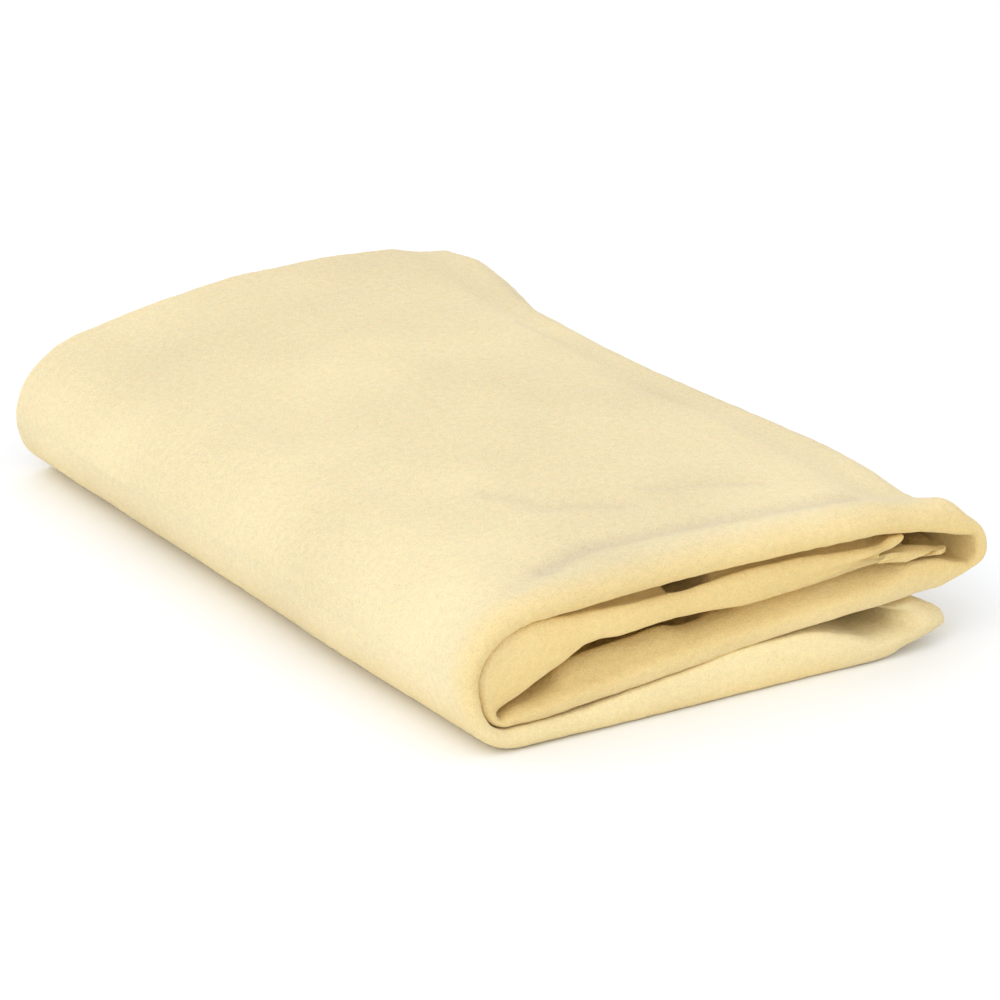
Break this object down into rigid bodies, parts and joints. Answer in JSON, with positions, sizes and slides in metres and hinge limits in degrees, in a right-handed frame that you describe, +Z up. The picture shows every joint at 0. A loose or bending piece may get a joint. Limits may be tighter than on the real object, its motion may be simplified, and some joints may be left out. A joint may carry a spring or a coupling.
{
  "type": "chamois leather",
  "caption": "Folded chamois leather for wiping and drying: a cream suede skin doubled at its front edge and turned into stacked leaves that open at the left bend.",
  "frame": {"origin": "centre of the folded pile's footprint, on the surface that it lies on", "axes": "+X to the right across the leaves, away from the left bend; +Y from the doubled front edge to the raw back edges; +Z up through the leaves"},
  "size_m": [0.156, 0.239, 0.0423],
  "materials": {
    "leather": "matte suede nap on both faces"
  },
  "bodies": {
    "base": {"bottom_leaf": "leather", "lower_crease": "leather", "tail_fold": "leather", "tail_leaf": "leather"},
    "spine": {"spine": "leather"},
    "cover": {"top_leaf": "leather", "upper_crease": "leather", "right_fold": "leather", "middle_leaf": "leather", "inner_fold": "leather", "inner_leaf": "leather"}
  },
  "joints": [
    {"name": "spine_hinge", "type": "hinge", "parent": "base", "child": "spine", "pos_m": [-0.0702, 0, 0.0078], "axis": [0, -1, 0], "range_deg": [0, 90], "deforming": ["lower_crease"]},
    {"name": "cover_hinge", "type": "hinge", "parent": "spine", "child": "cover", "pos_m": [-0.0702, 0, 0.0345], "axis": [0, -1, 0], "range_deg": [0, 90], "deforming": ["upper_crease"]}
  ]
}
